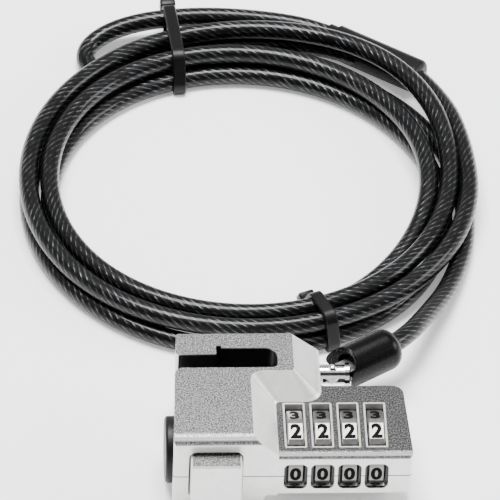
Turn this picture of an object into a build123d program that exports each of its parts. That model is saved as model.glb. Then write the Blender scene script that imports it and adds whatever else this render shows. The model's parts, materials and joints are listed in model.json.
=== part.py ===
from build123d import *
import os
from math import atan2, cos, degrees, pi, radians, sin, sqrt, tan

# Four-wheel combination cable lock for a tablet or laptop, with its coiled security cable.
# Millimetres. X runs along the number wheels' shaft, Y from the front face to the back, Z up.
# The origin is the middle of the lock's footprint, on the surface that the lock lies on.

# Lock body
FRONT_Y = -17.1
BACK_Y = 21.5
LEFT_FRONT_X = -29.4
LEFT_BACK_X = -27.6
RIGHT_FRONT_X = 30.4
RIGHT_BACK_X = 28.9
PLATEAU_Z = 23.0
PANEL_Z = 17.4
PANEL_BACK_Y = 7.8
UNDERSIDE_Z = 3.6
PARTING_Z = 10.2
PLATEAU_STEP_X = -9.5
PLATEAU_STEP_Y = 7.8
PLATEAU_RIGHT_X = 1.6
RAMP_X = -3.1
RAMP_Y = 2.1
RAMP_RIGHT_X = 8.5

# Number wheels
WHEEL_Y = -7.2
WHEEL_Z = 10.2
WHEEL_COUNT = 4
WHEEL_FIRST_X = 1.25
WHEEL_PITCH = 6.73
WHEEL_WIDTH = 4.1
FACETS = 10
APOTHEM = 9.2
BEVEL_APOTHEM = 9.44
WHEEL_BORE_R = 5.9
HUB_R = 5.87
HUB_BORE_R = 2.46
CHAMBER_R = 10.0
CHAMBER_WIDTH = 4.6
RIB_BORE_R = 6.3

# Shaft and release button
SHAFT_R = 2.4
SHAFT_END_X = 26.6
TOOTH_R = 3.3
BUSH_R = 4.4
BUTTON_R = 8.4
BUTTON_FACE_X = -31.1
BUTTON_TRAVEL = 1.3

# Slot for the tablet's locking bar
SLOT_FRONT_Y = 8.9
SLOT_NECK_BACK_Y = 13.8
SLOT_BACK_Y = 16.0
SLOT_STEP_X = -17.7
SLOT_END_X = -2.4

# Locking tab and bolt
TAB_X0 = -25.05
TAB_X1 = -12.3
TAB_Z0 = 3.4
TAB_Z1 = 17.7
TAB_FRONT_Y = -21.5
TAB_BACK_Y = -15.0
TAB_TRAVEL = 4.4
BOLT_X = -20.4
BOLT_Z = 15.4
BOLT_R = 2.0

# Swivel and cable
SWIVEL_Y = 17.1
SWIVEL_Z = 12.6
SWIVEL_R = 2.45
PIN_X = 12.0
PIN_R = 1.2
TONGUE = 1.1
CAP_R = 5.4
CAP_END = 19.6
CAP_AZIMUTH = 33.0
CABLE_D = 5.0
COIL_CENTRE = (-5.6, 96.3)
COIL_OUTER_R = 61.2
COIL_HOLE_CENTRE = (-8.3, 96.0)
COIL_HOLE_R = 46.2
COIL_HEIGHT = 10.6
SLEEVE_START = (17.6, 156.0)
SLEEVE_END = (40.2, 140.6)
TIE_WIDTH = 3.2
TIE_STANDS = 1.2
RUNNING_FIT = 0.06

os.makedirs("parts", exist_ok=True)


def add(name, shape):
    shape.label = name
    export_step(shape, f"parts/{name}.step")


def box(x0, x1, y0, y1, z0, z1):
    return Pos((x0 + x1) / 2, (y0 + y1) / 2, (z0 + z1) / 2) * Box(x1 - x0, y1 - y0, z1 - z0)


def rod_x(x0, x1, y, z, r):
    return Pos((x0 + x1) / 2, y, z) * Rot(0, 90, 0) * Cylinder(r, x1 - x0)


def rod_y(x, y0, y1, z, r):
    return Pos(x, (y0 + y1) / 2, z) * Rot(90, 0, 0) * Cylinder(r, y1 - y0)


def rod_z(x, y, z0, z1, r):
    return Pos(x, y, (z0 + z1) / 2) * Cylinder(r, z1 - z0)


def rounded_outline(points, radii):
    """A closed face through points, with the corner at each point rounded to its radius."""
    wire = Wire(Polyline(*points, close=True).edges())
    face = Face(wire)
    for point, radius in zip(points, radii):
        if radius:
            corner = face.vertices().sort_by_distance(Vector(*point, 0))[0]
            face = fillet(corner, radius)
            face = face.face()
    return face


def wheel_x(index):
    return WHEEL_FIRST_X + index * WHEEL_PITCH


def base_outline():
    points = [
        (LEFT_FRONT_X, FRONT_Y),
        (RIGHT_FRONT_X, FRONT_Y),
        (RIGHT_BACK_X, PANEL_BACK_Y),
        (RAMP_RIGHT_X, PANEL_BACK_Y),
        (RAMP_RIGHT_X, BACK_Y),
        (LEFT_BACK_X, BACK_Y),
    ]
    return rounded_outline(points, [0.8, 1.0, 3.0, 0.8, 1.2, 1.2])


def step_outline(x_step, y_step, x_right, inner_r, outer_r):
    """The raised L-shaped part of the body: the left block and the arm along the back."""
    points = [
        (LEFT_FRONT_X, FRONT_Y),
        (x_step, FRONT_Y),
        (x_step, y_step),
        (x_right, y_step),
        (x_right, BACK_Y),
        (LEFT_BACK_X, BACK_Y),
    ]
    return rounded_outline(points, [0.8, 0, inner_r, outer_r, 1.2, 1.2])


def body_blank():
    panel = extrude(Pos(0, 0, UNDERSIDE_Z) * base_outline(), PANEL_Z - UNDERSIDE_Z)
    low = Pos(0, 0, PANEL_Z) * step_outline(RAMP_X, RAMP_Y, RAMP_RIGHT_X, 1.2, 4.0)
    high = Pos(0, 0, PLATEAU_Z) * step_outline(
        PLATEAU_STEP_X, PLATEAU_STEP_Y, PLATEAU_RIGHT_X, 3.4, 0.9
    )
    raised = loft([low.face(), high.face()], ruled=True)
    foot_low = step_outline(-7.6, 6.4, 4.4, 2.0, 2.0)
    foot_high = Pos(0, 0, UNDERSIDE_Z) * step_outline(-6.0, 4.8, 6.0, 0.8, 3.4)
    foot = loft([foot_low.face(), foot_high.face()], ruled=True)
    blank = panel + raised + foot

    # Side profile with the rounded front and back edges, swept along X.
    def profile(z_top, z_bottom, front_top_r, front_bottom_r, back_r):
        corners = [
            (FRONT_Y, z_bottom),
            (BACK_Y, z_bottom),
            (BACK_Y, z_top),
            (FRONT_Y, z_top),
        ]
        face = rounded_outline(corners, [front_bottom_r, back_r, back_r, front_top_r])
        return extrude(Plane.YZ.offset(-40) * face, 80)

    left = box(-40, PLATEAU_STEP_X + 3.2, -30, 30, -5, 30)
    ramp_limit = profile(PLATEAU_Z, 0, 2.5, 2.0, 0.6)
    panel_limit = profile(PANEL_Z, UNDERSIDE_Z, 1.7, 1.0, 0.4)
    arm = box(PLATEAU_STEP_X + 3.2, 40, RAMP_Y - 6, 30, -5, 30)
    front_right = box(PLATEAU_STEP_X + 3.2, 40, -30, RAMP_Y - 6, -5, 30)
    ramp_front = box(PLATEAU_STEP_X + 3.2, RAMP_X, -30, RAMP_Y - 6, -5, 30)
    shaped = (blank & ramp_limit & left) + (blank & ramp_limit & arm)
    shaped += blank & ramp_limit & ramp_front
    shaped += blank & panel_limit & (front_right - ramp_front)
    return shaped


def wide_slot(inset, z, height):
    points = [
        (SLOT_STEP_X - 0.01, SLOT_FRONT_Y + inset),
        (SLOT_END_X - inset, SLOT_FRONT_Y + inset),
        (SLOT_END_X - inset, SLOT_BACK_Y - inset),
        (SLOT_STEP_X - 0.01, SLOT_BACK_Y - inset),
    ]
    return extrude(Pos(0, 0, z) * rounded_outline(points, [0, 1.5, 3.2, 0]), height)


def window_rims():
    """A thin raised frame round each wheel's window in the panel."""
    rims = None
    for i in range(WHEEL_COUNT):
        place = Pos(wheel_x(i), WHEEL_Y + 0.7, PANEL_Z)
        frame = RectangleRounded(CHAMBER_WIDTH + 0.9, 16.1, 0.5) - Rectangle(CHAMBER_WIDTH, 15.2)
        rim = extrude(place * frame, 0.2)
        rims = rim if rims is None else rims + rim
    return rims


def slot_cut():
    neck = box(-40, SLOT_STEP_X, SLOT_FRONT_Y, SLOT_NECK_BACK_Y, -1, 30)
    wide = wide_slot(0.0, -1, 31)
    relief = box(SLOT_STEP_X - 0.01, SLOT_STEP_X + 1.3, SLOT_BACK_Y - 1, SLOT_BACK_Y + 0.9, -1, 30)
    flare = box(-40, -26.2, SLOT_FRONT_Y - 2.0, SLOT_FRONT_Y + 0.01, -1, 30)
    flare -= rod_z(-26.2, SLOT_FRONT_Y - 2.0, -1, 30, 2.0)
    flare_back = box(-40, -27.1, SLOT_NECK_BACK_Y - 0.01, SLOT_NECK_BACK_Y + 0.8, -1, 30)
    flare_back -= rod_z(-27.1, SLOT_NECK_BACK_Y + 0.8, -1, 30, 0.8)
    return neck + wide + relief + flare + flare_back


def tab_cuts():
    mouth_points = [
        (TAB_X0 - 0.4, TAB_Z0 - 0.4),
        (TAB_X1 + 0.4, TAB_Z0 - 0.4),
        (TAB_X1 + 0.4, TAB_Z1 + 0.9),
        (TAB_X0 - 0.4, TAB_Z1 + 0.9),
    ]
    mouth_face = rounded_outline(mouth_points, [2.0, 2.0, 2.0, 2.0])
    mouth = extrude(Plane.XZ.offset(10.2) * mouth_face, 14)
    carriage = box(TAB_X0 + 0.6, TAB_X1 - 0.6, -11.0, 6.8, 4.2, 18.2)
    bolt_way = rod_y(BOLT_X, 5.0, SLOT_NECK_BACK_Y + 2.4, BOLT_Z, BOLT_R + 0.25)
    return mouth + carriage + bolt_way


def wheel_cuts():
    cuts = rod_x(-0.9, 25.2, WHEEL_Y, WHEEL_Z, RIB_BORE_R)
    for i in range(WHEEL_COUNT):
        x = wheel_x(i)
        half = CHAMBER_WIDTH / 2
        cuts += rod_x(x - half, x + half, WHEEL_Y, WHEEL_Z, CHAMBER_R)
        cuts += box(x - half, x + half, WHEEL_Y - 6.9, WHEEL_Y + 8.3, WHEEL_Z + 3, 30)
        cuts += box(x - half, x + half, WHEEL_Y - 7.4, WHEEL_Y + 7.4, 0, WHEEL_Z - 3)
        pocket = Plane.XZ * (Pos(x, WHEEL_Z - 0.2) * RectangleRounded(5.9, 8.3, 1.6))
        cuts += extrude(Pos(0, FRONT_Y + 0.9, 0) * pocket, 4)
    return cuts


def inner_cuts():
    shaft_end = SHAFT_END_X + BUTTON_TRAVEL + 0.5
    shaft_way = rod_x(-30, shaft_end, WHEEL_Y, WHEEL_Z, SHAFT_R + RUNNING_FIT)
    button_way = rod_x(-40, -25.6, WHEEL_Y, WHEEL_Z, BUTTON_R + 0.25)
    bush_seat = rod_x(25.1, 27.0, WHEEL_Y, WHEEL_Z, BUSH_R)
    spring_room = rod_x(-12.9, -6.4, WHEEL_Y, WHEEL_Z, 4.0)
    detent_room = box(-0.9, 23.7, 2.4, 6.3, 5.4, 14.4)
    swivel_way = rod_x(-1.0, 12, SWIVEL_Y, SWIVEL_Z, SWIVEL_R + RUNNING_FIT)
    ring_room = rod_x(1.6, 4.0, SWIVEL_Y, SWIVEL_Z, 3.5)
    shaft_room = shaft_way + button_way + bush_seat + spring_room
    return shaft_room + detent_room + swivel_way + ring_room


# Screws from below: X, Y and the height of the face that each head is sunk in
SCREWS = [
    (-10.2, 4.2, 0.0),
    (-23.2, 18.6, 0.0),
    (-3.6, 18.9, 0.0),
    (27.0, -13.4, UNDERSIDE_Z),
    (26.6, 3.6, UNDERSIDE_Z),
]
SCREW_R = 0.95
SCREW_HEAD_R = 1.8


def screw_cuts():
    cuts = None
    for x, y, z in SCREWS:
        hole = rod_z(x, y, z - 1, z + 12.6, SCREW_R)
        hole += rod_z(x, y, z - 1, z + 1.6, SCREW_HEAD_R + 0.15)
        cuts = hole if cuts is None else cuts + hole
    return cuts


def housing():
    body = body_blank() + window_rims() - slot_cut() - tab_cuts()
    body = body - wheel_cuts() - inner_cuts() - screw_cuts()
    upper = body & box(-50, 50, -50, 50, PARTING_Z, 40)
    lower = body & box(-50, 50, -50, 50, -10, PARTING_Z)
    add("upper_housing", upper)
    add("lower_housing", lower)


def screws():
    group = []
    for x, y, z in SCREWS:
        head = rod_z(x, y, z + 0.15, z + 1.5, SCREW_HEAD_R)
        recess = box(x - 1.0, x + 1.0, y - 0.25, y + 0.25, z, z + 0.7)
        recess += box(x - 0.25, x + 0.25, y - 1.0, y + 1.0, z, z + 0.7)
        group.append(head + rod_z(x, y, z + 1.4, z + 12.0, SCREW_R - 0.01) - recess)
    add("housing_screws", Compound(children=group))


def number_wheel(index):
    """A ten-sided ring with a bevel between neighbouring faces, and the code hub inside it."""
    x = wheel_x(index)
    half = WHEEL_WIDTH / 2
    ring = RegularPolygon(APOTHEM, FACETS, major_radius=False, rotation=0)
    limit = RegularPolygon(BEVEL_APOTHEM, FACETS, major_radius=False, rotation=18)
    solid = extrude((ring & limit).face(), WHEEL_WIDTH)
    solid = chamfer(solid.faces().filter_by(Axis.Z).edges(), 0.3)
    solid -= Cylinder(WHEEL_BORE_R, 3 * WHEEL_WIDTH)
    wheel = Pos(x - half, WHEEL_Y, WHEEL_Z) * Rot(0, 90, 0) * solid
    add(f"number_wheel_{index + 1}", wheel)

    hub = rod_x(x - half, x + half + 1.4, WHEEL_Y, WHEEL_Z, HUB_R)
    hub -= rod_x(x - half - 1, x + half + 4, WHEEL_Y, WHEEL_Z, HUB_BORE_R)
    chamber = rod_x(x + half - 1.2, x + half + 3, WHEEL_Y, WHEEL_Z, TOOTH_R + 0.35)
    gate_top = WHEEL_Z + TOOTH_R + 0.3
    gate = box(x - half - 1, x + half, WHEEL_Y - 0.9, WHEEL_Y + 0.9, WHEEL_Z + 2, gate_top)
    add(f"code_hub_{index + 1}", hub - chamber - gate)


def release_parts():
    button = rod_x(BUTTON_FACE_X, -27.4, WHEEL_Y, WHEEL_Z, BUTTON_R)
    button = fillet(button.edges().filter_by(GeomType.CIRCLE).sort_by(Axis.X)[0], 0.8)
    button -= rod_x(-28.9, -27, WHEEL_Y, WHEEL_Z, SHAFT_R)
    add("release_button", button)

    shaft = rod_x(-28.9, SHAFT_END_X, WHEEL_Y, WHEEL_Z, SHAFT_R)
    shaft += rod_x(-12.6, -11.4, WHEEL_Y, WHEEL_Z, 3.1)
    for i in range(WHEEL_COUNT):
        x = wheel_x(i) + WHEEL_WIDTH / 2
        shaft += box(x - 1.0, x - 0.1, WHEEL_Y - 0.7, WHEEL_Y + 0.7, WHEEL_Z + 2, WHEEL_Z + TOOTH_R)
    add("code_shaft", shaft)


def coil_spring(radius, wire_r, pitch, length):
    """A compression spring standing on the origin, along Z."""
    path = Helix(pitch=pitch, height=length - 2 * wire_r, radius=radius)
    section = Plane(origin=path @ 0, z_dir=path % 0) * Circle(wire_r)
    return Pos(0, 0, wire_r) * sweep(section, path=path, is_frenet=True)


def springs():
    release = Rot(0, 90, 0) * coil_spring(3.1, 0.3, 1.15, 4.8)
    add("release_spring", Pos(-11.3, WHEEL_Y, WHEEL_Z) * release)
    tab = Rot(-90, 0, 0) * coil_spring(1.3, 0.25, 1.3, 17.6)
    add("tab_spring", Pos((TAB_X0 + TAB_X1) / 2, -16.0 + 0.1, 5.8) * tab)


def locking_tab():
    points = [(TAB_X0, TAB_Z0), (TAB_X1, TAB_Z0), (TAB_X1, TAB_Z1), (TAB_X0, TAB_Z1)]
    face = rounded_outline(points, [1.7, 1.7, 1.0, 1.0])
    plate = extrude(Plane.XZ.offset(-TAB_BACK_Y) * face, TAB_BACK_Y - TAB_FRONT_Y)
    front = plate.faces().sort_by(Axis.Y)[0]
    plate = chamfer(front.edges(), 0.45)
    arm = box(BOLT_X - 3.0, BOLT_X + 3.0, TAB_BACK_Y - 0.1, 2.0, 13.6, 17.3)
    rail = box(-16.6, -13.4, TAB_BACK_Y - 0.1, 0.0, 13.6, 16.4)
    tab = plate + arm + rail
    tab -= rod_y(BOLT_X, -6.0, 3.0, BOLT_Z, BOLT_R - 0.6)
    tab -= rod_y((TAB_X0 + TAB_X1) / 2, -16.0, -14.0, 5.8, 1.8)
    add("push_tab", tab)
    bolt = rod_y(BOLT_X, 2.0, 8.7, BOLT_Z, BOLT_R)
    bolt = chamfer(bolt.edges().filter_by(GeomType.CIRCLE).sort_by(Axis.Y)[-1], 0.4)
    bolt += rod_y(BOLT_X, -6.0, 2.0, BOLT_Z, BOLT_R - 0.6)
    add("locking_bolt", bolt)


def slot_insert():
    pad = wide_slot(0.05, 1.0, 15.0) & box(SLOT_END_X - 2.8, SLOT_END_X, 0, 30, 0, 30)
    add("slot_pad", pad - rod_z(SLOT_END_X - 3.3, 12.4, 0, 17, 1.2))


def detent_plate():
    plate = box(-0.4, 23.2, 5.2, 5.7, 5.9, 13.9)
    for i in range(WHEEL_COUNT):
        x = wheel_x(i)
        finger = box(x - 1.1, x + 1.1, 3.0, 5.3, WHEEL_Z - 1.4, WHEEL_Z - 0.9)
        plate += finger + rod_x(x - 1.1, x + 1.1, 3.25, WHEEL_Z - 1.15, 0.4)
    add("detent_spring_plate", plate)


def end_bush():
    bush = rod_x(25.4, 27.0, WHEEL_Y, WHEEL_Z, BUSH_R)
    bush -= rod_x(23, 28, WHEEL_Y, WHEEL_Z, SHAFT_R + RUNNING_FIT)
    add("shaft_end_bush", bush)


def swivel():
    stud = rod_x(-0.6, 15.0, SWIVEL_Y, SWIVEL_Z, SWIVEL_R)
    stud += rod_x(15.0, 16.4, SWIVEL_Y, SWIVEL_Z, 2.9)
    stud = chamfer(stud.edges().filter_by(GeomType.CIRCLE).sort_by(Axis.X)[-1], 0.3)
    stud -= rod_x(2.2, 3.2, SWIVEL_Y, SWIVEL_Z, 4) - rod_x(2.2, 3.2, SWIVEL_Y, SWIVEL_Z, 1.8)
    half_slot = TONGUE / 2 + 0.1
    stud -= box(9.4, 20, SWIVEL_Y - 5, SWIVEL_Y + 5, SWIVEL_Z - half_slot, SWIVEL_Z + half_slot)
    stud -= rod_z(PIN_X, SWIVEL_Y, 0, 30, PIN_R)
    add("swivel_stud", stud)
    ring = rod_x(2.3, 3.1, SWIVEL_Y, SWIVEL_Z, 3.2) - rod_x(2, 4, SWIVEL_Y, SWIVEL_Z, 1.82)
    ring -= box(2, 4, SWIVEL_Y - 1.2, SWIVEL_Y + 1.2, SWIVEL_Z - 5, SWIVEL_Z)
    add("retaining_ring", ring)
    pin = rod_z(PIN_X, SWIVEL_Y, SWIVEL_Z - 2.5, SWIVEL_Z + 2.5, PIN_R)
    dome = Pos(PIN_X, SWIVEL_Y, SWIVEL_Z + 1.6) * Sphere(1.5)
    pin += dome & box(0, 30, 0, 30, SWIVEL_Z + SWIVEL_R, 30)
    add("pivot_pin", pin)


def along_cap(distance, offset=0.0):
    a = radians(CAP_AZIMUTH)
    return (
        PIN_X + distance * cos(a) - offset * sin(a),
        SWIVEL_Y + distance * sin(a) + offset * cos(a),
    )


def cap_rod(d0, d1, r):
    x, y = along_cap((d0 + d1) / 2)
    return Pos(x, y, SWIVEL_Z) * Rot(0, 0, CAP_AZIMUTH) * Rot(0, 90, 0) * Cylinder(r, d1 - d0)


# Route of the lead, from the cap down to the coil
LEAD = [
    (25.4, 25.8, 12.6),
    (31.4, 31.4, 12.0),
    (37.4, 43.2, 8.2),
    (43.8, 56.6, 4.4),
    (48.4, 70.6, 2.7),
    (50.4, 82.0, 2.5),
]
# Route of the eye loop, from the crimp sleeve round to where it passes under the coil
EYE = [
    (16.2, 157.2, 5.0),
    (5.0, 159.8, 6.4),
    (-11.0, 161.0, 7.4),
    (-27.0, 160.6, 7.2),
    (-37.0, 158.6, 5.4),
    (-43.6, 155.0, 3.4),
    (-45.8, 149.0, 2.5),
    (-44.6, 143.4, 2.5),
    (-41.0, 139.6, 2.5),
]


def rounded_route(points):
    """Straight runs joined by tangent arcs, each as large as its two runs allow."""
    vectors = [Vector(*p) for p in points]
    radii = []
    for a, b, c in zip(vectors, vectors[1:], vectors[2:]):
        half_turn = radians((b - a).get_angle(c - b)) / 2
        radii.append(0.45 * min((b - a).length, (c - b).length) / tan(half_turn))
    print("radii", [round(r, 1) for r in radii])
    return FilletPolyline(*points, radius=radii)


def tube(name, points):
    path = rounded_route(points)
    section = Plane(origin=path @ 0, z_dir=path % 0) * Circle(CABLE_D / 2)
    solid = sweep(section, path=path)
    print(name, "length", round(path.length, 1), "volume ratio",
          round(solid.volume / (path.length * pi * (CABLE_D / 2) ** 2), 3))
    return solid


def cable_end():
    x, y = along_cap(5.4)
    tongue = Pos(x, y, SWIVEL_Z) * Rot(0, 0, CAP_AZIMUTH) * Box(10.8, 4.6, TONGUE)
    tongue += rod_z(PIN_X, SWIVEL_Y, SWIVEL_Z - TONGUE / 2, SWIVEL_Z + TONGUE / 2, 2.4)
    barrel = cap_rod(8.4, 15.7, 3.6) - cap_rod(11.5, 18.0, CABLE_D / 2 + 0.1)
    ferrule = tongue + barrel - rod_z(PIN_X, SWIVEL_Y, 0, 30, PIN_R + RUNNING_FIT)
    add("cable_ferrule", ferrule)

    shell = cap_rod(0.0, CAP_END, CAP_R)
    rear_centre = Vector(*along_cap(CAP_END), SWIVEL_Z)
    rear = shell.edges().filter_by(GeomType.CIRCLE).sort_by_distance(rear_centre)[0]
    shell = fillet(rear, 3.6)
    shell -= rod_z(PIN_X, SWIVEL_Y, 0, 30, 5.7)
    shell -= cap_rod(0.0, 17.0, 3.6)
    shell -= tube("lead", LEAD)
    add("cable_cap", shell)


def sleeve_place(distance):
    (x0, y0), (x1, y1) = SLEEVE_START, SLEEVE_END
    t = distance / sqrt((x1 - x0) ** 2 + (y1 - y0) ** 2)
    return (x0 + (x1 - x0) * t, y0 + (y1 - y0) * t)


def crimp_sleeve():
    """An oval moulded sleeve on the loop's crimp, with a short collar at the loop's end."""
    x, y = sleeve_place(15.2)
    angle = degrees(atan2(SLEEVE_END[1] - SLEEVE_START[1], SLEEVE_END[0] - SLEEVE_START[0]))
    body = extrude(Plane.YZ.offset(-12.4) * RectangleRounded(9.0, 8.0, 3.4), 26.4)
    body = fillet(body.faces().sort_by(Axis.X)[-1].edges(), 1.6)
    collar = extrude(Plane.YZ.offset(-15.2) * RectangleRounded(7.4, 7.0, 2.8), 3.4)
    sleeve = Pos(x, y, 4.05) * Rot(0, 0, angle) * (body + collar)
    return sleeve


def coil_body():
    outer = Pos(*COIL_CENTRE, 0) * Circle(COIL_OUTER_R)
    hole = Pos(*COIL_HOLE_CENTRE, 0) * Circle(COIL_HOLE_R)
    ring = extrude(outer - hole, COIL_HEIGHT)
    ring = fillet(ring.edges().filter_by(GeomType.CIRCLE), 3.0)
    return ring


def coil_tie(angle):
    """A nylon tie round the bundle, standing a little above it."""
    a = radians(angle)
    middle_r = 0.5 * (COIL_OUTER_R + COIL_HOLE_R) + 0.4
    x = 0.5 * (COIL_CENTRE[0] + COIL_HOLE_CENTRE[0]) + middle_r * cos(a)
    y = 0.5 * (COIL_CENTRE[1] + COIL_HOLE_CENTRE[1]) + middle_r * sin(a)
    across = COIL_OUTER_R - COIL_HOLE_R + 3.6
    tall = COIL_HEIGHT + TIE_STANDS
    band = Plane.XZ * RectangleRounded(across, tall, 3.4)
    hole = Plane.XZ * RectangleRounded(across - 2.2, tall - 2.2, 2.4)
    loop = extrude(band - hole, TIE_WIDTH / 2, both=True)
    return Pos(x, y, tall / 2) * Rot(0, 0, angle) * loop


def cable():
    coil = coil_body()
    sleeve = crimp_sleeve()
    lead = tube("lead", LEAD)
    eye = tube("eye", EYE)
    coil = coil - sleeve - lead - eye
    coil = coil.solids().sort_by(SortBy.VOLUME)[-1]
    add("cable_lead", lead)
    add("cable_eye", eye - sleeve)
    add("cable_coil", coil)
    add("crimp_sleeve", sleeve)
    add("cable_tie_rear", coil_tie(106.0) - coil - eye)
    add("cable_tie_front", coil_tie(-70.5) - coil)


housing()
screws()
for wheel_index in range(WHEEL_COUNT):
    number_wheel(wheel_index)
release_parts()
springs()
locking_tab()
slot_insert()
detent_plate()
end_bush()
swivel()
cable_end()
cable()
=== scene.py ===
import json
import math

import bmesh
import bpy
from mathutils import Matrix, Vector

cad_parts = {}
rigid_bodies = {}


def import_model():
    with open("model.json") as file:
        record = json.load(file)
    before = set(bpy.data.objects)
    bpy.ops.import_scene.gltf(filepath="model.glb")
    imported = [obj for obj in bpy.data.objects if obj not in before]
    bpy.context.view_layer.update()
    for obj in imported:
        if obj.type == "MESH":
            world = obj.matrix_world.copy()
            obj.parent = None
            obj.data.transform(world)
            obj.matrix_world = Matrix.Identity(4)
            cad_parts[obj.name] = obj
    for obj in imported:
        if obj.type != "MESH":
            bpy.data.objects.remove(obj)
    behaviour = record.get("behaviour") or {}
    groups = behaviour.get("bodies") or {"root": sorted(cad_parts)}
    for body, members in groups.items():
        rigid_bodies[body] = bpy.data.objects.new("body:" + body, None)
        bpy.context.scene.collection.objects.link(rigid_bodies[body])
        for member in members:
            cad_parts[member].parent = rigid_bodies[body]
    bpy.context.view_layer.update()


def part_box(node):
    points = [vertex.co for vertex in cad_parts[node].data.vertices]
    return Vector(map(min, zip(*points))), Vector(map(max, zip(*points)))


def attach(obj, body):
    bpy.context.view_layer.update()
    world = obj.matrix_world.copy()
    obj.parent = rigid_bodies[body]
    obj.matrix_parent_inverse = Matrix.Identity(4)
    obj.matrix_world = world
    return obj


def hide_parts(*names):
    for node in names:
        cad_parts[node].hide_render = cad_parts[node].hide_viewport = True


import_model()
MM = 0.001

# The lock's own places
WHEEL_Y = -7.2 * MM
WHEEL_Z = 10.2 * MM
WHEEL_FACE = 9.2 * MM
CHAMBER_R = 9.88 * MM
CHAMBER_X = (-3.0 * MM, 25.5 * MM)
CHAMBER_Z = (0.5 * MM, 17.1 * MM)
SLOT_X = (-27.2 * MM, -2.2 * MM)
SLOT_Y = (8.8 * MM, 16.95 * MM)
SLOT_TOP_Z = 22.7 * MM
PLATEAU_Z = 18.5 * MM
WINDOW_RIM_Z = (17.5 * MM, 17.9 * MM)
SEAM_Z = (10.06 * MM, 10.34 * MM)
FRONT_ROUNDING_Y = -14.0 * MM
FRONT_ROUNDING_Z = 14.0 * MM
# Black for the painted shade in the slot and round the wheels, and for the seam's dark joint
SHADE_AND_SEAM_BLACK = (0.006, 0.006, 0.006, 1.0)

# Digits
DIGIT_SIZE = 5.3 * MM
DIGIT_WEIGHT = 0.26 * MM
DIGIT_STANDS = 0.03 * MM
DEGREES_PER_DIGIT = 36

# Camera: the lock seen from the front and above, a few degrees from the left
AZIMUTH = math.radians(4.0)
ELEVATION = math.radians(42.6)
ROLL = math.radians(2.4)
DISTANCE = 2.0
VIEW_WIDTH = 0.12887
SENSOR = 36.0
TARGET = Vector((-0.0063, 0.0717, 0.0050))

# Cable
CABLE_R = 2.5 * MM
COIL_CENTRE = (-7.0, 96.2)
POINTS_PER_TURN = 24
STRANDS = 10
LAY = 24.0 * MM
RIDGE = 0.03 * MM
AROUND = 40

# Ties: where each crosses the bundle, its lean from square, and its head's direction, in degrees
BUNDLE_R = 54.0 * MM
TIES = {"rear": (107.2, -12, 15), "front": (-70.5, 3, 150)}
TIE_WIDTH = 3.3 * MM
TIE_THICKNESS = 1.1 * MM
TIE_EDGE = 0.3 * MM
TIE_STEPS = 96
TIE_HEAD = (TIE_WIDTH + 0.8 * MM, 2.3 * MM, 3.6 * MM)
TIE_HEAD_EDGE = 0.5 * MM
TIE_HEAD_STANDS = 0.7 * MM
TIE_FLOOR_GAP = 0.02 * MM

# The cable's route from the cap to the coil, in millimetres
LEAD = [
    (25.4, 25.8, 12.6),
    (31.4, 31.4, 12.0),
    (37.4, 43.2, 8.2),
    (43.8, 56.6, 4.4),
    (48.4, 70.6, 2.7),
    (50.4, 82.0, 2.5),
]
# The cable's place in the bundle, in millimetres from the coil's axis and above the surface,
# at every eighth of a turn from the right-hand side: right, back right, back, back left, left,
# front left, front, front right
TURNS = [
    [(57.2, 2.5), (53.4, 2.5), (52.4, 2.5), (54.4, 2.5), (56.2, 2.5), (58.6, 2.5), (59.4, 2.5), (57.4, 2.5)],
    [(51.6, 2.5), (47.8, 2.5), (46.9, 2.5), (48.6, 2.5), (50.7, 2.5), (51.4, 2.5), (49.4, 2.5), (47.4, 3.0)],
    [(48.6, 7.5), (49.2, 7.5), (49.8, 7.5), (51.2, 7.5), (50.8, 7.5), (51.8, 7.5), (51.4, 7.4), (52.3, 7.6)],
    [(54.0, 7.5), (59.4, 9.8), (59.3, 7.6), (57.3, 7.5), (56.4, 7.5), (57.4, 7.5), (57.0, 7.5), (58.2, 7.5)],
    [(59.2, 7.5)],
]
# From the last turn out to the crimp sleeve, through it, round the eye and back into it
TAIL = [
    (49.6, 119.0, 6.9),
    (45.0, 133.0, 4.6),
    (38.4, 143.2, 4.05),
    (29.4, 149.6, 4.05),
    (18.6, 156.6, 4.6),
    (8.0, 160.0, 5.8),
    (-11.0, 161.3, 7.2),
    (-27.0, 160.8, 6.8),
    (-38.4, 159.0, 5.0),
    (-45.6, 154.6, 3.2),
    (-47.2, 148.6, 2.5),
    (-43.4, 144.0, 2.5),
    (-36.6, 146.4, 2.5),
    (-24.0, 152.0, 2.5),
    (-8.0, 154.6, 2.5),
    (6.0, 154.2, 3.0),
    (17.0, 152.6, 3.8),
    (26.0, 147.6, 4.05),
]


def camera():
    right = Vector((math.cos(AZIMUTH), -math.sin(AZIMUTH), 0))
    forward = Vector((
        math.sin(AZIMUTH) * math.cos(ELEVATION),
        math.cos(AZIMUTH) * math.cos(ELEVATION),
        -math.sin(ELEVATION),
    ))
    up = right.cross(forward)
    x_axis = math.cos(ROLL) * right + math.sin(ROLL) * up
    y_axis = -math.sin(ROLL) * right + math.cos(ROLL) * up
    data = bpy.data.cameras.new("camera")
    data.sensor_width = SENSOR
    data.lens = SENSOR * DISTANCE / VIEW_WIDTH
    data.clip_start = 0.1
    data.clip_end = 20
    obj = bpy.data.objects.new("camera", data)
    bpy.context.collection.objects.link(obj)
    place = Matrix((x_axis, y_axis, -forward)).transposed().to_4x4()
    place.translation = TARGET - DISTANCE * forward
    obj.matrix_world = place
    bpy.context.scene.camera = obj


def link(name, mesh, material, smooth=True):
    obj = bpy.data.objects.new(name, mesh)
    bpy.context.collection.objects.link(obj)
    mesh.materials.clear()
    mesh.materials.append(material)
    for polygon in mesh.polygons:
        polygon.use_smooth = smooth
    return obj


# Materials


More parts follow.
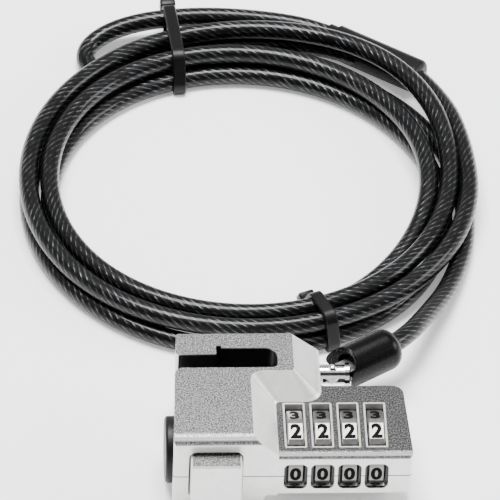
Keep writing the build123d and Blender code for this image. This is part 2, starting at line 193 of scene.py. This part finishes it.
class Nodes:
    """Short helpers for one material's nodes."""

    def __init__(self, name):
        self.material = bpy.data.materials.new(name)
        self.material.use_nodes = True
        self.tree = self.material.node_tree
        self.shader = self.tree.nodes["Principled BSDF"]

    def add(self, kind, **settings):
        node = self.tree.nodes.new(kind)
        for key, value in settings.items():
            setattr(node, key, value)
        return node

    def link(self, source, target):
        self.tree.links.new(source, target)

    def set(self, **values):
        for key, value in values.items():
            self.shader.inputs[key.replace("_", " ")].default_value = value

    def place(self):
        return self.add("ShaderNodeTexCoord").outputs["Object"]

    def noise(self, scale, detail=2.0, roughness=0.5, vector=None):
        node = self.add("ShaderNodeTexNoise")
        node.inputs["Scale"].default_value = scale
        node.inputs["Detail"].default_value = detail
        node.inputs["Roughness"].default_value = roughness
        self.link(vector or self.place(), node.inputs["Vector"])
        return node.outputs["Fac"]

    def ramp(self, factor, *stops):
        node = self.add("ShaderNodeValToRGB")
        elements = node.color_ramp.elements
        while len(elements) < len(stops):
            elements.new(0.5)
        for element, (position, grey) in zip(elements, stops):
            element.position = position
            tint = grey if isinstance(grey, tuple) else (grey, grey, grey)
            element.color = (*tint, 1)
        self.link(factor, node.inputs["Fac"])
        return node.outputs["Color"]

    def math(self, operation, a, b=0.0):
        node = self.add("ShaderNodeMath", operation=operation)
        for socket, value in zip(node.inputs, (a, b)):
            if isinstance(value, (int, float)):
                socket.default_value = value
            else:
                self.link(value, socket)
        return node.outputs[0]

    def mix(self, factor, a, b):
        node = self.add("ShaderNodeMix", data_type="RGBA")
        for socket, value in zip((node.inputs[0], node.inputs[6], node.inputs[7]), (factor, a, b)):
            if isinstance(value, (tuple, float)):
                socket.default_value = value
            else:
                self.link(value, socket)
        return node.outputs[2]

    def bump(self, height, strength, distance):
        node = self.add("ShaderNodeBump")
        node.inputs["Strength"].default_value = strength
        node.inputs["Distance"].default_value = distance
        self.link(height, node.inputs["Height"])
        self.link(node.outputs["Normal"], self.shader.inputs["Normal"])


def within(n, value, low, high):
    """1 where value lies between low and high, else 0."""
    return n.math("MULTIPLY", n.math("GREATER_THAN", value, low), n.math("LESS_THAN", value, high))


def sprayed_metal(name, housing):
    """Silver paint: salt-and-pepper grain on the level faces, smooth on slopes and sides. The
    housing also has a darker panel, a painted dark reflection on the front rounding, plain
    window rims, its seam, and painted shade, black, in the slot and round the wheels."""
    n = Nodes(name)
    n.set(Coat_Weight=0.1)
    coordinates = n.add("ShaderNodeTexCoord")
    facing = n.add("ShaderNodeSeparateXYZ")
    n.link(coordinates.outputs["Normal"], facing.inputs[0])
    upward = facing.outputs["Z"]
    at = n.add("ShaderNodeSeparateXYZ")
    n.link(coordinates.outputs["Object"], at.inputs[0])
    x, y, z = (at.outputs[axis] for axis in "XYZ")
    grain = n.noise(2700, 3, 0.8)
    plateau = n.ramp(grain, (0.40, 0.03), (0.5, 0.14), (0.60, 0.40))
    mottle = n.noise(420, 2, 0.5)
    smooth = n.ramp(mottle, (0.3, (0.80, 0.785, 0.77)), (0.7, (0.88, 0.865, 0.85)))
    level = n.ramp(upward, (0.72, 0.0), (0.95, 1.0))
    n.link(n.ramp(level, (0.0, 0.35), (1.0, 0.85)), n.shader.inputs["Metallic"])
    n.bump(n.math("MULTIPLY", grain, level), 0.25, 0.05 * MM)
    if housing:
        panel = n.ramp(grain, (0.41, 0.008), (0.51, 0.045), (0.61, 0.19))
        grained = n.mix(n.math("GREATER_THAN", z, PLATEAU_Z), panel, plateau)
        level = n.math("MULTIPLY", level, n.math("SUBTRACT", 1.0, within(n, z, *WINDOW_RIM_Z)))
        painted = n.mix(level, smooth, grained)
        # Painted reflection: the grain is darkened on the front rounding to stand for the dark room in front
        # reflected there
        rounding = n.ramp(grain, (0.40, 0.01), (0.62, 0.30))
        painted = n.mix(front_rounding(n, upward, y, z), painted, rounding)
        # Painted shade: black inside the slot and round the wheels where shade falls; the seam is a dark
        # joint
        colour = n.mix(dark_places(n, upward, x, y, z), painted, SHADE_AND_SEAM_BLACK)
    else:
        colour = n.mix(level, smooth, plateau)
    n.link(colour, n.shader.inputs["Base Color"])
    n.link(n.ramp(level, (0.0, 0.30), (1.0, 0.44)), n.shader.inputs["Roughness"])
    return n.material


def front_rounding(n, upward, y, z):
    """1 on the rounding between the front face and the level faces, where the painted dark reflection goes.
    """
    band = n.ramp(upward, (0.10, 0.0), (0.25, 1.0), (0.55, 1.0), (0.72, 0.0))
    band = n.math("MULTIPLY", band, n.math("LESS_THAN", y, FRONT_ROUNDING_Y))
    return n.math("MULTIPLY", band, n.math("GREATER_THAN", z, FRONT_ROUNDING_Z))


def dark_places(n, upward, x, y, z):
    """1 where painted shade goes, inside the slot and round the wheels, and on the seam."""
    slot = n.math("MULTIPLY", within(n, y, *SLOT_Y), within(n, x, *SLOT_X))
    slot = n.math("MULTIPLY", slot, n.math("LESS_THAN", z, SLOT_TOP_Z))
    from_axis = n.math(
        "ADD",
        n.math("POWER", n.math("SUBTRACT", y, WHEEL_Y), 2.0),
        n.math("POWER", n.math("SUBTRACT", z, WHEEL_Z), 2.0),
    )
    chamber = n.math("LESS_THAN", from_axis, CHAMBER_R**2)
    chamber = n.math("MULTIPLY", chamber, within(n, z, *CHAMBER_Z))
    chamber = n.math("MULTIPLY", chamber, within(n, x, *CHAMBER_X))
    seam = n.math("MULTIPLY", within(n, z, *SEAM_Z), within(n, upward, -0.3, 0.3))
    return n.math("MAXIMUM", n.math("MAXIMUM", slot, chamber), seam)


def metal(name, tint, roughness, grain=900, strength=0.05):
    n = Nodes(name)
    n.set(Metallic=1.0)
    fac = n.noise(grain, 3, 0.6)
    low = tuple(0.88 * c for c in tint)
    n.link(n.ramp(fac, (0.3, low), (0.7, tint)), n.shader.inputs["Base Color"])
    n.link(n.ramp(fac, (0.3, roughness), (0.7, roughness + 0.1)), n.shader.inputs["Roughness"])
    n.bump(fac, strength, 0.03 * MM)
    return n.material


def plastic(name, tint, roughness, specular=0.35, grain=1500, strength=0.05):
    n = Nodes(name)
    n.set(Specular_IOR_Level=specular)
    fac = n.noise(grain, 3, 0.6)
    low = tuple(0.7 * c for c in tint)
    n.link(n.ramp(fac, (0.3, low), (0.7, tint)), n.shader.inputs["Base Color"])
    n.link(n.ramp(fac, (0.3, roughness), (0.7, roughness + 0.08)), n.shader.inputs["Roughness"])
    n.bump(fac, strength, 0.04 * MM)
    return n.material


def jacket():
    """Smoked vinyl over twisted steel wire. In the mesh's UV, X counts the strands round the
    cable as they twist, and Y counts as many for each lay of its length."""
    n = Nodes("smoked_vinyl_cable")
    n.set(Metallic=0.85, Coat_Weight=0.5, Coat_Roughness=0.12, Coat_IOR=1.35)
    uv = n.add("ShaderNodeUVMap", uv_map="lay")
    part = n.add("ShaderNodeSeparateXYZ")
    n.link(uv.outputs["UV"], part.inputs[0])
    strand = n.math("FRACT", part.outputs["X"])
    ridge = n.ramp(strand, (0.0, 0.0), (0.3, 0.3), (0.5, 1.0), (0.7, 0.3), (1.0, 0.0))
    slant = n.math(
        "ADD",
        n.math("MULTIPLY", part.outputs["X"], 2.0),
        n.math("MULTIPLY", part.outputs["Y"], 1.1),
    )
    wires = n.math("FRACT", slant)
    fine = n.ramp(wires, (0.0, 0.45), (0.35, 1.0), (0.65, 1.0), (1.0, 0.45))
    blotch = n.ramp(n.noise(330, 3, 0.65), (0.36, 0.35), (0.62, 1.0))
    lit = n.math("MULTIPLY", n.math("MULTIPLY", ridge, fine), blotch)
    shade = n.ramp(
        lit,
        (0.0, (0.001, 0.001, 0.0012)),
        (0.3, (0.006, 0.0063, 0.007)),
        (1.0, (0.11, 0.113, 0.118)),
    )
    n.link(shade, n.shader.inputs["Base Color"])
    n.link(n.ramp(ridge, (0.0, 0.55), (1.0, 0.36)), n.shader.inputs["Roughness"])
    n.bump(lit, 0.45, 0.2 * MM)
    return n.material


# Cable


def catmull(a, b, c, d, t):
    quadratic = 2 * a - 5 * b + 4 * c - d
    cubic = 3 * b - a - 3 * c + d
    return 0.5 * (2 * b + (c - a) * t + quadratic * t * t + cubic * t**3)


def coil_points():
    """The turns, from where the lead joins them to the last station on the right."""
    stations = [Vector((r, z)) for turn in TURNS for r, z in turn]
    per_station = POINTS_PER_TURN // 8
    points = []
    for i in range((len(stations) - 1) * per_station + 1):
        k, t = divmod(i / per_station, 1)
        k = int(k)
        around = [stations[min(max(k + j, 0), len(stations) - 1)] for j in (-1, 0, 1, 2)]
        r, z = catmull(*around, t)
        angle = 2 * math.pi * i / POINTS_PER_TURN
        points.append((COIL_CENTRE[0] + r * math.cos(angle), COIL_CENTRE[1] + r * math.sin(angle), z))
    return points


def centreline():
    """Points along the cable's smooth line, evenly close together."""
    route = LEAD + coil_points() + TAIL
    curve = bpy.data.curves.new("cable_route", "CURVE")
    curve.dimensions = "3D"
    spline = curve.splines.new("NURBS")
    spline.points.add(len(route) - 1)
    for point, (x, y, z) in zip(spline.points, route):
        point.co = (x * MM, y * MM, z * MM, 1)
    spline.order_u = 3
    spline.use_endpoint_u = True
    spline.resolution_u = 12
    guide = bpy.data.objects.new("cable_route", curve)
    bpy.context.collection.objects.link(guide)
    bpy.context.view_layer.update()
    evaluated = guide.evaluated_get(bpy.context.evaluated_depsgraph_get())
    mesh = bpy.data.meshes.new_from_object(evaluated)
    line = [v.co.copy() for v in mesh.vertices]
    bpy.data.meshes.remove(mesh)
    bpy.data.objects.remove(guide)
    return line


def jacketed_tube(line):
    """The cable's jacket as a closed tube with its strands' low ridges, and the UV for jacket()."""
    lengths = [0.0]
    for a, b in zip(line, line[1:]):
        lengths.append(lengths[-1] + (b - a).length)
    normal = (line[1] - line[0]).normalized().orthogonal().normalized()
    vertices, faces = [], []
    for i, point in enumerate(line):
        ahead = line[min(i + 1, len(line) - 1)]
        behind = line[max(i - 1, 0)]
        tangent = (ahead - behind).normalized()
        normal = (normal - normal.dot(tangent) * tangent).normalized()
        side = tangent.cross(normal)
        for j in range(AROUND):
            turn = j / AROUND
            strand = STRANDS * (turn - lengths[i] / LAY)
            radius = CABLE_R - RIDGE * (0.5 + 0.5 * math.cos(2 * math.pi * strand))
            a = 2 * math.pi * turn
            vertices.append(point + radius * (math.cos(a) * normal + math.sin(a) * side))
    for i in range(len(line) - 1):
        for j in range(AROUND):
            k = (j + 1) % AROUND
            faces.append((i * AROUND + j, i * AROUND + k, (i + 1) * AROUND + k, (i + 1) * AROUND + j))
    faces.append(tuple(reversed(range(AROUND))))
    last = (len(line) - 1) * AROUND
    faces.append(tuple(last + j for j in range(AROUND)))
    mesh = bpy.data.meshes.new("security_cable")
    mesh.from_pydata([tuple(v) for v in vertices], [], faces)
    layer = mesh.uv_layers.new(name="lay")
    for index in range((len(line) - 1) * AROUND):
        i, j = divmod(index, AROUND)
        corners = ((i, j), (i, j + 1), (i + 1, j + 1), (i + 1, j))
        for loop, (row, column) in zip(mesh.polygons[index].loop_indices, corners):
            strand = STRANDS * (column / AROUND - lengths[row] / LAY)
            layer.data[loop].uv = (strand, lengths[row] / LAY * STRANDS)
    return mesh


def cable(material, tie_material):
    line = centreline()
    obj = link("security_cable", jacketed_tube(line), material)
    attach(obj, "cable")
    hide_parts("cable_lead", "cable_coil", "cable_eye")
    pieces = [bpy.data.objects[n] for n in ("cable_cap", "cable_ferrule", "crimp_sleeve")]
    for name, (angle, lean, head_angle) in TIES.items():
        band = tie(f"nylon_tie_{name}", angle, lean, head_angle, line, tie_material)
        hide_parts(f"cable_tie_{name}")
        pieces.append(band)


def tie(name, angle, lean, head_angle, line, material):
    """A nylon tie pulled tight round the bundle: its band, and its head on the side away.
    It crosses the bundle at angle round the coil, turned from square by lean."""
    middle = Matrix.Rotation(math.radians(angle), 3, "Z") @ Vector((BUNDLE_R, 0, 0))
    radial = Matrix.Rotation(math.radians(angle + lean), 3, "Z") @ Vector((1, 0, 0))
    along = Vector((-radial.y, radial.x, 0))
    up = Vector((0, 0, 1))
    centre = Vector((COIL_CENTRE[0] * MM, COIL_CENTRE[1] * MM, 0)) + middle
    cut = []
    for point in line:
        offset = point - centre
        if abs(offset.dot(along)) < TIE_WIDTH / 2 and abs(offset.dot(radial)) < BUNDLE_R / 2:
            cut.append((offset.dot(radial), offset.z))

    def outline(direction, thickness):
        c, s = math.cos(direction), math.sin(direction)
        r, z = max(cut, key=lambda p: p[0] * c + p[1] * s)
        reach = CABLE_R + thickness
        lowest = TIE_FLOOR_GAP + 0.3 * (TIE_THICKNESS - thickness)
        return r + reach * c, max(z + reach * s, lowest)

    half = TIE_WIDTH / 2
    shoulder = TIE_THICKNESS - TIE_EDGE
    rows = [(-half, 0.0), (-half, shoulder), (-half + TIE_EDGE, TIE_THICKNESS),
            (half - TIE_EDGE, TIE_THICKNESS), (half, shoulder), (half, 0.0)]
    vertices, faces = [], []
    for i in range(TIE_STEPS):
        for shift, thickness in rows:
            r, z = outline(2 * math.pi * i / TIE_STEPS, thickness)
            vertices.append(centre + r * radial + z * up + shift * along)
    for i in range(TIE_STEPS):
        k = (i + 1) % TIE_STEPS
        for j in range(len(rows)):
            m = (j + 1) % len(rows)
            a, b = i * len(rows), k * len(rows)
            faces.append((a + j, a + m, b + m, b + j))
    mesh = bpy.data.meshes.new(name)
    mesh.from_pydata([tuple(v) for v in vertices], [], faces)
    model = bmesh.new()
    model.from_mesh(mesh)
    direction = math.radians(head_angle)
    out = math.cos(direction) * radial + math.sin(direction) * up
    r, z = outline(direction, TIE_THICKNESS + TIE_HEAD_STANDS)
    turn = Matrix((along, out, along.cross(out))).transposed().to_4x4()
    turn.translation = centre + r * radial + z * up
    size = Matrix.Diagonal((*TIE_HEAD, 1))
    head = bmesh.ops.create_cube(model, size=1, matrix=turn @ size)
    edges = list({e for v in head["verts"] for e in v.link_edges})
    bmesh.ops.bevel(model, geom=edges, offset=TIE_HEAD_EDGE, segments=3, profile=0.5, affect="EDGES")
    bmesh.ops.recalc_face_normals(model, faces=model.faces)
    model.to_mesh(mesh)
    model.free()
    obj = link(name, mesh, material)
    mesh.set_sharp_from_angle(angle=math.radians(35))
    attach(obj, "cable")
    return obj


# Digits on the wheels


def digits(material):
    for w in range(4):
        lo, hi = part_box(f"number_wheel_{w + 1}")
        x = (lo[0] + hi[0]) / 2
        vertices, faces = [], []
        for digit in range(10):
            curve = bpy.data.curves.new(f"digit_{digit}", "FONT")
            curve.body = str(digit)
            curve.size = DIGIT_SIZE
            curve.align_x = "CENTER"
            curve.align_y = "CENTER"
            curve.offset = DIGIT_WEIGHT
            curve.extrude = DIGIT_STANDS
            text = bpy.data.objects.new("digit", curve)
            bpy.context.collection.objects.link(text)
            bpy.context.view_layer.update()
            evaluated = text.evaluated_get(bpy.context.evaluated_depsgraph_get())
            flat = bpy.data.meshes.new_from_object(evaluated)
            middle = sum((v.co for v in flat.vertices), Vector()) / len(flat.vertices)
            low = min(v.co.y for v in flat.vertices)
            high = max(v.co.y for v in flat.vertices)
            shift = Matrix.Translation((-middle.x, -(low + high) / 2, 0))
            stand = Matrix.Rotation(math.radians(90), 4, "X")
            out = Matrix.Translation((0, -WHEEL_FACE, 0))
            turn = Matrix.Rotation(math.radians(-DEGREES_PER_DIGIT * digit), 4, "X")
            place = Matrix.Translation((x, WHEEL_Y, WHEEL_Z)) @ turn @ out @ stand @ shift
            first = len(vertices)
            vertices += [tuple(place @ v.co) for v in flat.vertices]
            faces += [tuple(first + i for i in p.vertices) for p in flat.polygons]
            bpy.data.objects.remove(text)
        mesh = bpy.data.meshes.new(f"wheel_digits_{w + 1}")
        mesh.from_pydata(vertices, [], faces)
        obj = link(f"wheel_digits_{w + 1}", mesh, material, smooth=False)
        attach(obj, f"wheel_{w + 1}")


# Room


def soft_light(name, place, size, power, target):
    data = bpy.data.lights.new(name, "AREA")
    data.shape = "RECTANGLE"
    data.size, data.size_y = size
    data.energy = power
    obj = bpy.data.objects.new(name, data)
    bpy.context.collection.objects.link(obj)
    obj.location = place
    obj.rotation_euler = (Vector(target) - Vector(place)).to_track_quat("-Z", "Y").to_euler()


def room():
    """A pale floor under a studio that is bright overhead and low down, and dark in front."""
    world = bpy.data.worlds.new("studio")
    world.use_nodes = True
    tree = world.node_tree
    background = tree.nodes["Background"]
    background.inputs["Strength"].default_value = 1.0
    direction = tree.nodes.new("ShaderNodeSeparateXYZ")
    tree.links.new(tree.nodes.new("ShaderNodeTexCoord").outputs["Generated"], direction.inputs[0])

    def ramp(source, stops):
        node = tree.nodes.new("ShaderNodeValToRGB")
        while len(node.color_ramp.elements) < len(stops):
            node.color_ramp.elements.new(0.5)
        for element, (position, grey) in zip(node.color_ramp.elements, stops):
            element.position = position
            element.color = (grey, grey, grey, 1)
        tree.links.new(source, node.inputs["Fac"])
        return node.outputs["Color"]

    height = ramp(
        direction.outputs["Z"],
        [(0.0, 1.0), (0.2, 0.95), (0.45, 0.5), (0.72, 0.45), (0.88, 1.0)],
    )
    shift = tree.nodes.new("ShaderNodeMath")
    shift.operation = "MULTIPLY_ADD"
    shift.inputs[1].default_value = 0.5
    shift.inputs[2].default_value = 0.5
    tree.links.new(direction.outputs["Y"], shift.inputs[0])
    front = ramp(shift.outputs[0], [(0.04, 0.5), (0.12, 0.05), (0.24, 0.06), (0.34, 1.0)])
    blend = tree.nodes.new("ShaderNodeMix")
    blend.data_type = "RGBA"
    blend.blend_type = "MULTIPLY"
    blend.inputs[0].default_value = 1.0
    tree.links.new(height, blend.inputs[6])
    tree.links.new(front, blend.inputs[7])
    tree.links.new(blend.outputs[2], background.inputs["Color"])
    bpy.context.scene.world = world
    mesh = bpy.data.meshes.new("floor")
    half = 3.0
    corners = [(-half, -half, 0), (half, -half, 0), (half, half, 0), (-half, half, 0)]
    mesh.from_pydata(corners, [], [(0, 1, 2, 3)])
    n = Nodes("pale_floor")
    n.link(n.ramp(n.noise(3), (0.3, 0.97), (0.7, 0.98)), n.shader.inputs["Base Color"])
    n.set(Roughness=1.0, Specular_IOR_Level=0.1)
    n.set(Emission_Color=(1.0, 1.0, 1.0, 1.0), Emission_Strength=0.32)
    floor = link("floor", mesh, n.material, smooth=False)
    soft_light("overhead", (-0.1, 0.25, 1.3), (0.9, 0.5), 50, (0, 0.06, 0))
    soft_light("side", (1.0, 0.1, 0.5), (0.5, 0.4), 7, (0, 0.05, 0))


def dress(nodes, material):
    for name in nodes:
        mesh = bpy.data.objects[name].data
        mesh.materials.clear()
        mesh.materials.append(material)


camera()
cable(jacket(), plastic("tie_nylon", (0.002, 0.002, 0.0022), 0.33, specular=0.2))
ink = plastic("wheel_ink", (0.003, 0.003, 0.003), 0.6, specular=0.05)
digits(ink)
dress(["upper_housing", "lower_housing"], sprayed_metal("sprayed_silver_housing", housing=True))
dress(["push_tab"], sprayed_metal("sprayed_silver_tab", housing=False))
dress([f"number_wheel_{i}" for i in range(1, 5)], metal("bright_nickel", (0.20, 0.196, 0.19), 0.3))
hubs = [f"code_hub_{i}" for i in range(1, 5)]
dress(hubs + ["shaft_end_bush"], metal("turned_brass", (0.72, 0.55, 0.27), 0.3))
dress(["swivel_stud", "pivot_pin"], metal("polished_chrome", (0.88, 0.88, 0.88), 0.07))
dress(["code_shaft", "locking_bolt", "detent_spring_plate", "retaining_ring", "cable_ferrule", "tab_spring",
       "release_spring"], metal("satin_steel", (0.60, 0.60, 0.61), 0.28))
dress(["housing_screws"], metal("blackened_steel", (0.10, 0.10, 0.105), 0.4))
dress(["release_button"], plastic("button_black", (0.004, 0.004, 0.0045), 0.38, specular=0.2))
dress(["cable_cap"], plastic("cap_gloss_black", (0.001, 0.001, 0.0012), 0.24, specular=0.14, strength=0.0))
dress(["crimp_sleeve"], plastic("sleeve_black", (0.003, 0.003, 0.0035), 0.36, specular=0.2))
dress(["slot_pad"], plastic("pad_rubber", (0.02, 0.02, 0.02), 0.6))
room()
